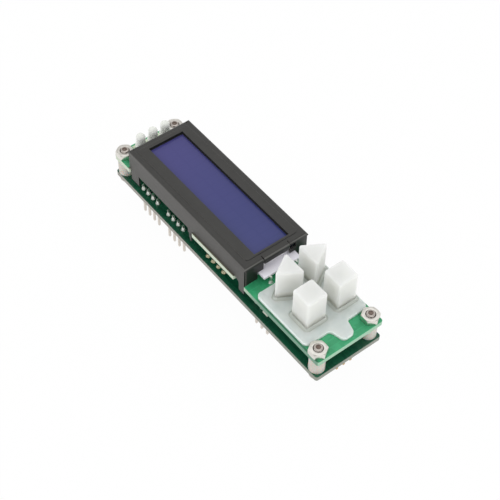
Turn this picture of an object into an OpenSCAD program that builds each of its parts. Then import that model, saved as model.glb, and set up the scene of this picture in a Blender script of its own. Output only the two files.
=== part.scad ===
// Character display module with a four-key pad and three status lamps.
// Two circuit boards are stacked on nylon spacers. The upper board carries the display, the key mat
// and the lamps. The lower board carries the controller and the connectors, which point down.
// X runs along the reading direction, from the lamps to the keys. Y runs from the lower edge of the
// display to its upper edge. Z is up, and z = 0 is the underside of the lower board. The origin is the
// centre of the four fixing screws.

/* [Fixing pattern] */
// Clearance hole radius for the fixing screws
screw_hole_r = 1.35; // [1.3:0.05:1.5]
// Thread radius of the fixing screws
screw_r = 1.25; // [1:0.05:1.25]
// Screw end that stands out of the nut
screw_end = 0.5; // [0.3:0.1:2]
// Screw head radius
head_r = 2.25; // [1.9:0.05:2.4]
// Screw head height
head_h = 1.7; // [1.2:0.1:2.2]
// Nut width across its flats
nut_af = 5; // [4.6:0.1:5.4]
// Nut height
nut_h = 2; // [1.4:0.1:2.6]
// Gap from the points of the nuts at the key end to the mat
nut_gap = 0.11; // [0.05:0.01:0.5]

/* [Boards] */
// Board edge beyond the screws at the lamp end
lamp_end_margin = 2.25; // [2:0.05:2.6]
// Board edge beyond the screws at the key end
key_end_margin = 2.85; // [2:0.05:6]
// Board edge beyond the screws on each long side
side_margin = 2.4; // [2.1:0.05:2.45]
// Thickness of both boards
board_t = 1.6; // [1.2:0.1:2]
// Corner radius of both boards
board_corner_r = 0.8; // [0.4:0.1:1.5]
// Spacer length, which is the gap between the boards
spacer_h = 5.6; // [5.2:0.1:12]
// Spacer outer radius
spacer_r = 2.38; // [2:0.01:2.4]

/* [Display bezel] */
// Bezel length
bezel_l = 58.1; // [56:0.1:64]
// Bezel width
bezel_w = 22.8; // [22.6:0.1:25]
// Board edge beyond the bezel on each long side
bezel_side_gap = 0.4; // [0.3:0.05:1]
// Bezel height over the board, at its outer edges
bezel_h = 7.3; // [7:0.1:9]
// Gap from the lamp end of the board to the bezel
bezel_inset = 7.3; // [6.9:0.1:8]
// Sheet thickness
sheet_t = 0.5; // [0.4:0.05:0.7]
// Outer radius of the folds
fold_r = 1; // [0.8:0.05:1.4]
// Height of the raised field round the window
raise_h = 0.3; // [0.1:0.05:0.5]
// Flat margin outside the raised field
raise_margin = 2.1; // [1.6:0.1:2.4]
// Margin from the lamp end of the bezel to the window
window_lamp_margin = 3.6; // [2.8:0.1:6]
// Margin from the key end of the bezel to the window
window_key_margin = 2.8; // [2.7:0.1:6]
// Margin from the lower edge of the bezel to the window
window_lower_margin = 5.4; // [4.9:0.1:7]
// Margin from the upper edge of the bezel to the window
window_upper_margin = 5; // [4.9:0.1:7]
// Slit at the folded corners
corner_slit = 0.45; // [0.3:0.05:0.8]
// Reach of the fixing tabs below the wall
tab_reach = 4.1; // [3.4:0.1:5]
// Width of the tabs at the lamp end
lamp_tab_w = 4; // [3:0.1:5]
// Lamp end of the bezel to the tabs at that end
lamp_tab_inset = 1.2; // [0.8:0.1:2]
// Width of the middle tabs
mid_tab_w = 2; // [1.5:0.1:3]
// Middle tabs, measured from the bezel centre towards the keys
mid_tab_dx = 2.6; // [-6:0.1:6]
// Turn of the middle tabs' ends that locks them under the board
tab_twist = 20; // [10:1:30]
// Width of the end flap over the mouth
flap_w = 9; // [8:0.1:10]
// Step of the end flap past the end wall
flap_step = 0.2; // [0.1:0.05:0.4]
// Depth of the end flap, from the top of the bezel
flap_h = 2.2; // [1.8:0.1:2.6]
// Relief slit beside the end flap
flap_slit = 0.3; // [0.2:0.05:0.6]
// Width of the relief window on the other side of the end flap
relief_w = 2.5; // [1.5:0.1:3]
// Height of the relief window
relief_h = 1.8; // [1:0.1:2]

/* [Liquid crystal cell and backlight] */
// Thickness of each glass
glass_t = 1.1; // [0.7:0.1:1.1]
// Thickness of each polarizer
polarizer_t = 0.15; // [0.1:0.05:0.2]
// Clearance of the cell inside the bezel, on each side
cell_clearance = 0.3; // [0.2:0.05:0.5]
// Gap from the top of the bezel to the cell under it
cell_gap = 0.45; // [0.3:0.05:0.6]
// Lap of the polarizers round the window
polarizer_lap = 0.7; // [0.5:0.05:0.8]
// Width of the ledge of the front glass that rests on each contact strip
ledge_w = 2.9; // [2.5:0.1:3.4]
// Width of each contact strip
strip_w = 1.8; // [1.4:0.1:2.2]
// Thickness of the light guide
guide_t = 3.3; // [2.6:0.1:3.4]
// Thickness of the lamp board at the end of the light guide
lamp_board_t = 0.9; // [0.6:0.1:1.2]
// Height of the lamp board over the main board
lamp_board_z = 1.8; // [1.4:0.1:2]
// Width of the lamp board
lamp_board_w = 13.2; // [11:0.1:14]
// Reach of the lamp board past the end wall
lamp_board_reach = 2.6; // [2:0.1:3]

/* [Status lamps] */
// Number of status lamps
lamp_count = 3; // [1:1:3]
// Distance between the lamps
lamp_pitch = 4.55; // [4.2:0.05:4.6]
// Gap from the last lamp to the nut beside it
lamp_gap = 0.05; // [0.05:0.05:0.6]
// Lamp body radius
lamp_r = 1.5; // [1.4:0.05:1.5]
// Radius of the flange at the foot of each lamp
lamp_flange_r = 1.9; // [1.7:0.05:2]
// Height of the flange
lamp_flange_h = 1; // [0.6:0.1:1.2]
// Lamp height over the board
lamp_h = 6.2; // [4.8:0.1:7]
// Height of the flange over the board
lamp_stand_off = 0.8; // [0.2:0.1:1.2]

/* [Key pad] */
// Mat thickness
mat_t = 1.1; // [1:0.05:1.4]
// Mat length, without its tongue
mat_l = 22; // [21.6:0.1:24]
// Gap from the bezel to the mat
mat_gap = 4.75; // [4:0.05:5]
// Margin from the mat to the long edges of the board
mat_margin = 0.55; // [0.4:0.05:0.8]
// Corner radius of the mat
mat_corner_r = 1.6; // [1:0.1:2.4]
// Reach of the tongue at the key end
tongue_reach = 4.7; // [3:0.1:4.9]
// Slope of the tongue's sides, in degrees
tongue_taper = 15; // [8:1:18]
// Width of the tongue at its tip
tongue_tip_w = 4.6; // [4.2:0.1:5.2]
// Corner radius of the tongue's tip
tongue_r = 1.7; // [1.2:0.1:2]
// Key height over the mat
key_h = 10.9; // [8:0.1:14]
// Side of the square keys
square_key = 6.8; // [6:0.1:7.2]
// Base of the triangular keys
arrow_w = 7.9; // [6.5:0.1:8]
// Height of the triangular keys from base to point
arrow_h = 6.8; // [6:0.1:7.2]
// Corner radius of the keys
key_corner_r = 0.55; // [0.3:0.05:1]
// Distance between the two columns of keys
column_pitch = 10.45; // [10.3:0.05:10.6]
// Distance between the two rows of keys
row_pitch = 11.1; // [10:0.05:11.4]
// Keys, measured from the middle of the mat's length towards the lamps
keys_dx = 1.55; // [1.4:0.05:1.8]
// Keys, measured from the middle of the board towards the upper edge
keys_dy = 1.25; // [0:0.05:1.3]
// Width of the thin web round each key
web_w = 0.95; // [0.7:0.05:1]
// Thickness of the web
web_t = 0.35; // [0.25:0.05:0.45]
// Depth of the groove over the web
groove_depth = 0.35; // [0.25:0.05:0.4]
// Travel of the keys
key_travel = 0.8; // [0.6:0.05:0.8]
// Radius of the carbon contacts
contact_r = 1.75; // [1.2:0.05:2]

/* [Connectors] */
// Distance between neighbouring pins
pin_pitch = 2.54; // [2.5:0.01:2.6]
// Side of the square pins
pin_w = 0.64; // [0.6:0.01:0.66]
// Height of the header bodies
header_h = 2.54; // [2.4:0.02:3]
// Pin length below the header bodies
pin_reach = 6.06; // [5.6:0.02:7]
// Pin length that stands out of the other side of the board
pin_tail = 1.9; // [1:0.1:2.2]
// Row of the edge headers, measured in from the long edges of the board
header_row = 2.4; // [2.2:0.1:3]
// First pin of the first header, measured from the lamp end of the board
first_header = 11.7; // [10.5:0.1:12.5]
// First pin of the second header, measured from the lamp end of the board
second_header = 25; // [24:0.1:27]
// First hole of the empty header place, measured from the lamp end of the board
spare_header = 45.4; // [44:0.1:48]

/* [Hidden] */
$fn = 48;
eps = 0.01;

// Levels
lower_top = board_t;
upper_z = board_t + spacer_h;
upper_top = upper_z + board_t;
nut_top = upper_top + nut_h;
screw_tip = nut_top + screw_end;
tip_chamfer = 0.15;

// Board outline. The screws at the key end stand clear of the mat by their nuts.
nut_point_r = nut_af / 2 / cos(30);
lamp_screw_to_bezel = bezel_inset - lamp_end_margin;
mat_to_key_screw = nut_point_r + nut_gap;
screw_span_x = lamp_screw_to_bezel + bezel_l + mat_gap + mat_l + mat_to_key_screw;
board_w = bezel_w + 2 * bezel_side_gap;
screw_span_y = board_w - 2 * side_margin;
board_x0 = -screw_span_x / 2 - lamp_end_margin;
board_x1 = screw_span_x / 2 + key_end_margin;
board_l = board_x1 - board_x0;
board_y0 = -board_w / 2;
board_y1 = board_w / 2;

// Bezel
bezel_x0 = board_x0 + bezel_inset;
bezel_x1 = bezel_x0 + bezel_l;
bezel_cx = (bezel_x0 + bezel_x1) / 2;
bezel_top = upper_top + bezel_h;
field_top = bezel_top + raise_h;
wall_y = bezel_w / 2;
key_tab_w = 2.4;
tab_fillet_r = 1.6;
tab_z = upper_top - tab_reach;
tab_room = 0.5;
notch_y = wall_y - sheet_t - tab_room;
mid_tab_x = bezel_cx + mid_tab_dx;
lamp_tab_x = bezel_x0 + lamp_tab_inset + lamp_tab_w / 2;
key_tab_x = bezel_x1 - corner_slit - key_tab_w / 2;
flap_room = 1.3;
corner_mark = 0.35;
corner_mark_inset = 1.6;
window_x0 = bezel_x0 + window_lamp_margin;
window_x1 = bezel_x1 - window_key_margin;
window_y0 = -wall_y + window_lower_margin;
window_y1 = wall_y - window_upper_margin;

// Cell, from the bezel's inner face down
cell_l = bezel_l - 2 * (sheet_t + cell_clearance);
cell_w = bezel_w - 2 * (sheet_t + cell_clearance);
front_glass_top = bezel_top - sheet_t - cell_gap;
front_glass_z = front_glass_top - glass_t;
rear_glass_z = front_glass_z - glass_t;
rear_polarizer_z = rear_glass_z - polarizer_t;
rear_glass_w = cell_w - 2 * ledge_w;
strip_inset = 2;
strip_y = cell_w / 2 - ledge_w / 2;
guide_z = rear_polarizer_z - guide_t;
guide_w = rear_glass_w - 0.4;
guide_x0 = bezel_x0 + sheet_t + 1;
guide_x1 = bezel_x1 - sheet_t - 0.6;
guide_foot_l = 4;
lamp_board_x1 = bezel_x1 + lamp_board_reach;
lamp_board_cy = 0.1;
mouth_clearance = 0.4;
mouth_w = lamp_board_w + 2 * mouth_clearance;
mouth_h = lamp_board_z + lamp_board_t + mouth_clearance / 2;
lead_w = 0.5;
lead_inset = 1.9;
lead_x = lamp_board_x1 + 0.6;
lead_tail = 0.9;

// Lamps
lamp_x = -screw_span_x / 2 + 0.7;
lamp_lead_gap = 1.27;
lamp_lead_tail = 1.2;
last_lamp_y = screw_span_y / 2 - nut_af / 2 - lamp_gap - lamp_r;

// Key pad
mat_x0 = bezel_x1 + mat_gap;
mat_x1 = mat_x0 + mat_l;
mat_w = board_w - 2 * mat_margin;
mat_top = upper_top + mat_t;
tongue_dy = 0.35;
tongue_fillet_r = 1.2;
keys_cx = (mat_x0 + mat_x1) / 2 - keys_dx;
arrow_x = keys_cx - column_pitch / 2;
square_x = keys_cx + column_pitch / 2;
lower_row_y = keys_dy - row_pitch / 2;
upper_row_y = keys_dy + row_pitch / 2;
key_top = mat_top + key_h;
web_z1 = mat_top - groove_depth;
web_z0 = web_z1 - web_t;
contact_t = 0.15;
contact_gap = 0.05;
key_z0 = upper_top + key_travel + contact_gap;
foot_z = key_z0 + contact_t;
// Corner centres of the keys, counter-clockwise
ax = arrow_w / 2 - key_corner_r;
ay = arrow_h / 2 - key_corner_r;
sq = square_key / 2 - key_corner_r;
down_outline = [[-ax, ay], [0, -ay], [ax, ay]];
up_outline = [[ax, -ay], [0, ay], [-ax, -ay]];
square_outline = [[-sq, -sq], [sq, -sq], [sq, sq], [-sq, sq]];

// Headers
header_w = 2.54;
hole_clearance = 0.13;
pin_hole_r = pin_w * sqrt(2) / 2 + hole_clearance;
pin_tip = 0.3;
joint_r = 0.78;
joint_h = 1.1;
joint_top_r = 0.4;
first_header_x = board_x0 + first_header;
second_header_x = board_x0 + second_header;
edge_row_y = board_y0 + header_row;
sensor_header_x = bezel_x1 + 2.1;
sensor_header_y = edge_row_y + 0.9;
end_header_x = screw_span_x / 2 - 1.05;
end_header_y = -0.4;
spare_x = board_x0 + spare_header;
spare_joint_r = 0.9;
spare_joint_h = 0.7;

// Board link
link_cols = 8;
link_rows = 2;
link_x = -9;
link_y = 4.8;
link_w = 5.08;
link_body_h = 2.5;
link_socket_h = spacer_h - link_body_h;
link_pin_h = 4.6;

// Parts under the lower board
usb_w = 7.7;
usb_l = 9.2;
usb_h = 3.95;
usb_wall = 0.4;
usb_overhang = 0.4;
usb_y = 0.5;
chip_side = 10;
chip_h = 1.4;
chip_x = 2;
chip_y = 0;
chip_leads = 11;
chip_lead_pitch = 0.8;
driver_r = 4.6;
driver_h = 1.5;
driver_dx = [-17, 4];
driver_y = -4.2;
crystal_l = 11;
crystal_w = 4.6;
crystal_h = 3.4;
crystal_dx = 14;
crystal_dy = 3;
capacitor_r = 3.15;
capacitor_h = 5.4;
capacitor_base = 6.6;
capacitor_base_h = 0.9;
capacitor_dx = -16;
capacitor_dy = 2.5;
transistor_l = 2.9;
transistor_w = 1.3;
transistor_h = 0.95;
transistor_lead_w = 0.4;
transistor_lead_t = 0.3;
transistor_lead_dx = 0.95;
transistor_lead_y = 0.9;
transistor_pitch = 5.2;
transistor_dx = 1;
transistor_dy = 5.2;

// Chip resistors and capacitors
chip_part_l = 2;
chip_part_w = 1.25;
chip_part_h = 0.6;
chip_part_pitch = 3.4;
chip_side_pitch = 2.6;
row_dx = 8;
row_dy = -6.5;
side_dx = -9.5;
side_dy = -3;
upper_row_dx = 17;
upper_parts_y = -3;
edge_part_h = 1.3;
edge_part_dx = 9.5;
edge_part_inset = 0.8;

// A board-like plate with rounded corners, from its lowest corner.
module plate(l, w, t, r) {
    translate([r, 0, 0]) cube([l - 2 * r, w, t]);
    translate([0, r, 0]) cube([l, w - 2 * r, t]);
    for (x = [r, l - r], y = [r, w - r])
        translate([x, y, 0]) cylinder(r = r, h = t);
}

// The four screw positions.
module at_screws() {
    for (sx = [-1, 1], sy = [-1, 1])
        translate([sx * screw_span_x / 2, sy * screw_span_y / 2, 0]) children();
}

// A box centred in X and Y, standing on z = 0.
module block(l, w, h) {
    translate([-l / 2, -w / 2, 0]) cube([l, w, h]);
}

function outward(a, b) = let (d = (b - a) / norm(b - a)) [d.y, -d.x];

// A convex outline with round corners of radius r. Its corner centres run counter-clockwise.
// The straight sides lie a hair inside the circles, so that the two cross cleanly.
module rounded(centres, r) {
    n = len(centres);
    hair = 0.002;
    polygon([
        for (i = [0:n - 1])
        let (out = outward(centres[i], centres[(i + 1) % n]) * (r - hair))
        each [centres[i] + out, centres[(i + 1) % n] + out]
    ]);
    for (c = centres) translate(c) circle(r = r);
}

// ---- Boards ----

module board_blank() {
    difference() {
        translate([board_x0, board_y0, 0]) plate(board_l, board_w, board_t, board_corner_r);
        at_screws() translate([0, 0, -eps]) cylinder(r = screw_hole_r, h = board_t + 2 * eps);
    }
}

// Holes for a row of pins that starts at x, y and runs along dir.
module pin_holes(x, y, count, dir, r = pin_hole_r) {
    for (i = [0:count - 1])
        translate([x, y, -eps] + dir * i * pin_pitch) cylinder(r = r, h = board_t + 2 * eps, $fn = 24);
}

module lower_board() {
    color([0.04, 0.32, 0.20])
    difference() {
        board_blank();
        pin_holes(first_header_x, edge_row_y, 4, [1, 0, 0]);
        pin_holes(second_header_x, edge_row_y, 4, [1, 0, 0]);
        pin_holes(first_header_x, -edge_row_y, 4, [1, 0, 0]);
        pin_holes(sensor_header_x, sensor_header_y, 3, [1, 0, 0]);
        pin_holes(end_header_x, end_header_y, 3, [0, 1, 0]);
        pin_holes(spare_x, edge_row_y, 4, [1, 0, 0], joint_top_r);
    }
}

// The notches let the bezel's tabs through. The long one also clears the pin tails of the lower board.
module tab_notches() {
    lamp_side = lamp_tab_w / 2 + tab_room;
    mid_side = mid_tab_w / 2 + tab_room;
    key_side = key_tab_w / 2 + tab_room;
    for (side = [-1, 1]) {
        notch(lamp_tab_x - lamp_side, lamp_tab_x + lamp_side, side);
        notch(side < 0 ? lamp_tab_x : mid_tab_x - mid_side, mid_tab_x + mid_side, side);
        notch(key_tab_x - key_side - tab_fillet_r, key_tab_x + key_side, side);
    }
}

// A notch from x0 to x1 in the long edge of the board on one side.
module notch(x0, x1, side) {
    depth = board_w / 2 - notch_y;
    translate([x0, side * (notch_y + depth / 2 + eps / 2) - depth / 2 - eps / 2, -eps])
        cube([x1 - x0, depth + eps, board_t + 2 * eps]);
}

module upper_board() {
    color([0.10, 0.62, 0.38])
    translate([0, 0, upper_z])
    difference() {
        board_blank();
        tab_notches();
        for (i = [0:lamp_count - 1], side = [-1, 1])
            translate([lamp_x, lamp_y(i) + side * lamp_lead_gap, -eps])
                cylinder(r = lead_w * sqrt(2) / 2 + hole_clearance, h = board_t + 2 * eps, $fn = 24);
        for (side = [-1, 1])
            translate([lead_x, lamp_board_cy + side * (lamp_board_w / 2 - lead_inset), -eps])
                cylinder(r = lead_w * sqrt(2) / 2 + hole_clearance, h = board_t + 2 * eps, $fn = 24);
    }
}

// ---- Fixings ----

module spacers() {
    color([0.90, 0.89, 0.84])
    at_screws()
    difference() {
        translate([0, 0, lower_top]) cylinder(r = spacer_r, h = spacer_h);
        translate([0, 0, lower_top - eps]) cylinder(r = screw_hole_r, h = spacer_h + 2 * eps);
    }
}

module screws() {
    socket_r = head_r * 0.42;
    slot_w = 0.5;
    color([0.75, 0.74, 0.72])
    at_screws()
    difference() {
        union() {
            rotate_extrude() polygon([
                [0, -head_h], [head_r * 0.72, -head_h], [head_r * 0.93, -head_h * 0.72],
                [head_r, -head_h * 0.3], [head_r, 0], [screw_r, 0], [screw_r, screw_tip - tip_chamfer],
                [screw_r - tip_chamfer, screw_tip], [0, screw_tip]
            ]);
        }
        for (a = [0, 90])
            rotate(a) translate([0, 0, -head_h - eps]) block(2 * socket_r, slot_w, head_h * 0.55);
    }
}

// A hexagon nut with its points chamfered on both faces.
module nuts() {
    chamfer = 0.25;
    color([0.80, 0.78, 0.75])
    at_screws() translate([0, 0, upper_top])
    difference() {
        intersection() {
            cylinder(r = nut_point_r, h = nut_h, $fn = 6);
            rotate_extrude() polygon([
                [0, 0], [nut_af / 2, 0], [nut_point_r, chamfer], [nut_point_r, nut_h - chamfer],
                [nut_af / 2, nut_h], [0, nut_h]
            ]);
        }
        translate([0, 0, -eps]) cylinder(r = screw_r + 0.02, h = nut_h + 2 * eps);
    }
}

// ---- Bezel: one folded sheet ----

// A fold profile: width w, height h, with its two upper corners rounded to r.
module fold_profile(w, h, r) {
    translate([-w / 2, 0]) square([w, h - r]);
    translate([-w / 2 + r, 0]) square([w - 2 * r, h]);
    for (x = [-w / 2 + r, w / 2 - r]) translate([x, h - r]) circle(r = r);
}

// A block with its four upper edges rounded, from z = 0 up to h.
module folded_block(l, w, h, r) {
    intersection() {
        translate([-l / 2, 0, 0]) rotate([90, 0, 90]) linear_extrude(l) fold_profile(w, h, r);
        translate([0, w / 2, 0]) rotate([90, 0, 0]) linear_extrude(w) fold_profile(l, h, r);
    }
}

// The raised field round the window, as a block that reaches z from its margin m.
module raised_field(m, z0, z1, r) {
    l = bezel_l - 2 * m;
    w = bezel_w - 2 * m;
    translate([bezel_cx - l / 2, -w / 2, z0]) plate(l, w, z1 - z0, r);
}

// A tab in the wall plane, with its end turned by twist. x is its middle, side is -1 or 1.
module tab(x, w, side, twist = 0) {
    y = side * (wall_y - sheet_t / 2);
    turn_z = upper_z - 0.15;
    translate([x, y, turn_z]) block(w, sheet_t, upper_top - turn_z + 0.6);
    translate([x, y, tab_z]) rotate(side * twist) block(w, sheet_t, turn_z - tab_z + 0.2);
}

// The concave fillet beside a tab, at x, opening towards dir.
module tab_fillet(x, side, dir) {
    r = tab_fillet_r;
    y = side * (wall_y - sheet_t / 2);
    translate([x, y + sheet_t / 2, upper_top + eps]) rotate([90, 0, 0]) linear_extrude(sheet_t)
    difference() {
        translate([dir > 0 ? 0 : -r, -r]) square([r, r + 0.4]);
        translate([dir * r, -r]) circle(r = r);
    }
}

// The flap over the mouth. Its sharp bend stands a step out of the end wall.
module end_flap() {
    x1 = bezel_x1 + flap_step;
    back = bezel_x1 - raise_margin;
    bend_r = sheet_t + 0.1;
    translate([back, -flap_w / 2, bezel_top - sheet_t]) cube([x1 - bend_r - back, flap_w, sheet_t]);
    translate([x1 - sheet_t, -flap_w / 2, bezel_top - flap_h]) cube([sheet_t, flap_w, flap_h - bend_r]);
    translate([x1 - bend_r, flap_w / 2, bezel_top - bend_r]) rotate([90, 0, 0]) linear_extrude(flap_w)
    intersection() {
        difference() {
            circle(r = bend_r);
            circle(r = bend_r - sheet_t, $fn = 16);
        }
        square(bend_r);
    }
}

module bezel_shell() {
    inner_r = fold_r - sheet_t;
    difference() {
        union() {
            translate([bezel_cx, 0, upper_top]) folded_block(bezel_l, bezel_w, bezel_h, fold_r);
            raised_field(raise_margin, bezel_top - sheet_t, field_top, 1);
        }
        translate([bezel_cx, 0, upper_top - eps])
            folded_block(bezel_l - 2 * sheet_t, bezel_w - 2 * sheet_t, bezel_h - sheet_t + eps, inner_r);
        raised_field(raise_margin + sheet_t, upper_top, field_top - sheet_t, 0.6);
    }
}

module bezel() {
    slit_h = bezel_h - fold_r;
    color([0.20, 0.20, 0.19])
    union() {
        difference() {
            bezel_shell();
            translate([window_x0, window_y0, bezel_top - 2 * sheet_t])
                cube([window_x1 - window_x0, window_y1 - window_y0, 4 * sheet_t]);
            // Slits at the folded corners
            for (x = [bezel_x0, bezel_x1], y = [-wall_y, wall_y])
                translate([x, y, upper_top - eps]) block(2 * corner_slit, 2 * corner_slit, slit_h);
            // The mouth in the key end, where the lamp board comes out
            translate([bezel_x1, lamp_board_cy, upper_top - eps]) block(2 * fold_r, mouth_w, mouth_h);
            // Room for the flap and its relief slits
            translate([bezel_x1, 0, upper_top + 1])
                block(2 * flap_room, flap_w + 2 * flap_slit, bezel_h);
            translate([bezel_x1 - fold_r, flap_w / 2, bezel_top - fold_r - relief_h])
                cube([2 * fold_r, relief_w, relief_h]);
            // Nicks in the lamp end, beside its corners
            for (side = [-1, 1])
                translate([bezel_x0, side * (wall_y - corner_mark_inset), bezel_top - fold_r])
                    block(2 * fold_r + 0.4, corner_mark, 2 * fold_r);
        }
        end_flap();
        for (side = [-1, 1]) {
            tab(lamp_tab_x, lamp_tab_w, side);
            tab(mid_tab_x, mid_tab_w, side, tab_twist);
            tab(key_tab_x, key_tab_w, side);
            tab_fillet(key_tab_x - key_tab_w / 2, side, -1);
        }
    }
}

// ---- Liquid crystal cell and backlight ----

module front_glass() {
    color([0.30, 0.31, 0.52])
    translate([bezel_cx, 0, front_glass_z]) block(cell_l, cell_w, glass_t);
}

module rear_glass() {
    color([0.30, 0.31, 0.52])
    translate([bezel_cx, 0, rear_glass_z]) block(cell_l, rear_glass_w, glass_t);
}

// A polarizer laps the window all round.
module polarizer(z) {
    x0 = window_x0 - polarizer_lap;
    y0 = window_y0 - polarizer_lap;
    translate([x0, y0, z])
        cube([window_x1 + polarizer_lap - x0, window_y1 + polarizer_lap - y0, polarizer_t]);
}

module front_polarizer() {
    color([0.29, 0.30, 0.55])
    polarizer(front_glass_top);
}

module rear_polarizer() {
    color([0.20, 0.20, 0.30])
    polarizer(rear_polarizer_z);
}

// The rubber strips press between the ledges of the front glass and the board.
module contact_strip(side) {
    color([0.85, 0.45, 0.50])
    translate([bezel_cx, side * strip_y, upper_top])
        block(cell_l - 2 * strip_inset, strip_w, front_glass_z - upper_top);
}

module contact_strip_lower() { contact_strip(-1); }
module contact_strip_upper() { contact_strip(1); }

// The light guide stands on two feet, so that its lamp board clears the main board.
module light_guide() {
    foot_h = guide_z - upper_top + eps;
    color([0.95, 0.95, 0.95])
    union() {
        translate([guide_x0, -guide_w / 2, guide_z]) cube([guide_x1 - guide_x0, guide_w, guide_t]);
        for (x = [guide_x0, guide_x1 - guide_foot_l])
            translate([x, -guide_w / 2, upper_top]) cube([guide_foot_l, guide_w, foot_h]);
    }
}

module lamp_board() {
    color([0.93, 0.93, 0.97])
    translate([guide_x1, lamp_board_cy - lamp_board_w / 2, upper_top + lamp_board_z])
        cube([lamp_board_x1 - guide_x1, lamp_board_w, lamp_board_t]);
}

// Two wire leads come out of the end of the lamp board and bend down into the main board.
module lamp_board_leads() {
    z = upper_top + lamp_board_z + (lamp_board_t - lead_w) / 2;
    color([0.78, 0.77, 0.72])
    for (side = [-1, 1])
        translate([lead_x, lamp_board_cy + side * (lamp_board_w / 2 - lead_inset), 0]) {
            translate([0, 0, upper_z - lead_tail]) block(lead_w, lead_w, z + lead_w - upper_z + lead_tail);
            translate([lamp_board_x1 - lead_x, -lead_w / 2, z])
                cube([lead_x - lamp_board_x1, lead_w, lead_w]);
            translate([0, 0, upper_top]) cylinder(r1 = 0.75, r2 = 0.4, h = 0.6, $fn = 24);
        }
}

// ---- Status lamps ----

function lamp_y(i) = last_lamp_y - (lamp_count - 1 - i) * lamp_pitch;

// A clear lamp with a domed top and two leads. Its flange has a flat on the side of the last lead.
module status_lamp(i) {
    base = lamp_stand_off;
    dome = lamp_h - lamp_r;
    color([0.93, 0.95, 0.93, 0.6])
    if (i < lamp_count)
        translate([lamp_x, lamp_y(i), upper_top]) {
            rotate_extrude() {
                translate([0, base]) square([lamp_r, dome - base]);
                translate([0, dome]) intersection() {
                    circle(r = lamp_r);
                    square(lamp_r);
                }
            }
            difference() {
                translate([0, 0, base]) cylinder(r = lamp_flange_r, h = lamp_flange_h);
                translate([-lamp_flange_r, lamp_r, base - eps])
                    cube([2 * lamp_flange_r, lamp_flange_r, lamp_flange_h + 2 * eps]);
            }
            for (side = [-1, 1])
                translate([0, side * lamp_lead_gap, -board_t - lamp_lead_tail])
                    block(lead_w, lead_w, board_t + lamp_lead_tail + base + 0.5);
        }
}

module status_lamp_1() { status_lamp(0); }
module status_lamp_2() { status_lamp(1); }
module status_lamp_3() { status_lamp(2); }

// ---- Key pad: a silicone moulding, parted where it moves ----

module at_down() { translate([arrow_x, lower_row_y, 0]) children(); }
module at_up() { translate([arrow_x, upper_row_y, 0]) children(); }
module at_upper_square() { translate([square_x, upper_row_y, 0]) children(); }
module at_lower_square() { translate([square_x, lower_row_y, 0]) children(); }

// The mat's outline, with the tongue that points between the two end screws.
module mat_outline() {
    r = mat_corner_r;
    x0 = mat_x0 + r;
    x1 = mat_x1 - r;
    y = mat_w / 2 - r;
    tip = mat_x1 + tongue_reach - tongue_r;
    tip_y = tongue_tip_w / 2 - tongue_r;
    root = mat_x1 - 2;
    root_y = tip_y + (tip - root) * tan(tongue_taper);
    rounded([[x0, -y], [x1, -y], [x1, y], [x0, y]], r);
    translate([0, tongue_dy]) {
        rounded([[root, -root_y], [tip, -tip_y], [tip, tip_y], [root, root_y]], tongue_r);
        tongue_fillet();
        mirror([0, 1]) tongue_fillet();
    }
}

// The fillet where the tongue leaves the mat. Its circle touches the mat's edge and the tongue's side.
module tongue_fillet() {
    f = tongue_fillet_r;
    tip_y = tongue_tip_w / 2 - tongue_r;
    run = tongue_reach - tongue_r;
    base_y = tip_y + tongue_r / cos(tongue_taper) + run * tan(tongue_taper);
    cy = base_y + f / cos(tongue_taper) - f * tan(tongue_taper);
    touch = [mat_x1 + f - f * sin(tongue_taper), cy - f * cos(tongue_taper)];
    difference() {
        polygon([
            [mat_x1 - 0.5, base_y - 1], [touch.x, touch.y - 0.5], touch, [mat_x1, cy], [mat_x1 - 0.5, cy]
        ]);
        translate([mat_x1 + f, cy]) circle(r = 1.02 * f);
    }
}

module key_mat() {
    color([0.80, 0.85, 0.86, 0.8])
    difference() {
        translate([0, 0, upper_top]) linear_extrude(mat_t) mat_outline();
        translate([0, 0, upper_top - eps]) linear_extrude(mat_t + 2 * eps) {
            at_down() rounded(down_outline, key_corner_r + web_w);
            at_up() rounded(up_outline, key_corner_r + web_w);
            at_upper_square() rounded(square_outline, key_corner_r + web_w);
            at_lower_square() rounded(square_outline, key_corner_r + web_w);
        }
    }
}

// A key, from its foot inside the mat to its flat top.
module key(outline) {
    color([0.92, 0.93, 0.90])
    translate([0, 0, foot_z]) linear_extrude(key_top - foot_z) rounded(outline, key_corner_r);
}

// The thin skin that joins a key to the mat and lets it travel.
module web(outline) {
    seat = 0.02;
    color([0.74, 0.79, 0.79, 0.8])
    translate([0, 0, web_z0]) linear_extrude(web_t)
    difference() {
        rounded(outline, key_corner_r + web_w - seat);
        rounded(outline, key_corner_r + seat);
    }
}

// The conductive pill under a key.
module contact() {
    color([0.08, 0.08, 0.08])
    translate([0, 0, key_z0]) cylinder(r = contact_r, h = contact_t);
}

module down_key() { at_down() key(down_outline); }
module up_key() { at_up() key(up_outline); }
module upper_square_key() { at_upper_square() key(square_outline); }
module lower_square_key() { at_lower_square() key(square_outline); }
module down_key_web() { at_down() web(down_outline); }
module up_key_web() { at_up() web(up_outline); }
module upper_square_key_web() { at_upper_square() web(square_outline); }
module lower_square_key_web() { at_lower_square() web(square_outline); }
module down_key_contact() { at_down() contact(); }
module up_key_contact() { at_up() contact(); }
module upper_square_key_contact() { at_upper_square() contact(); }
module lower_square_key_contact() { at_lower_square() contact(); }

// ---- Connectors ----

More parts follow.
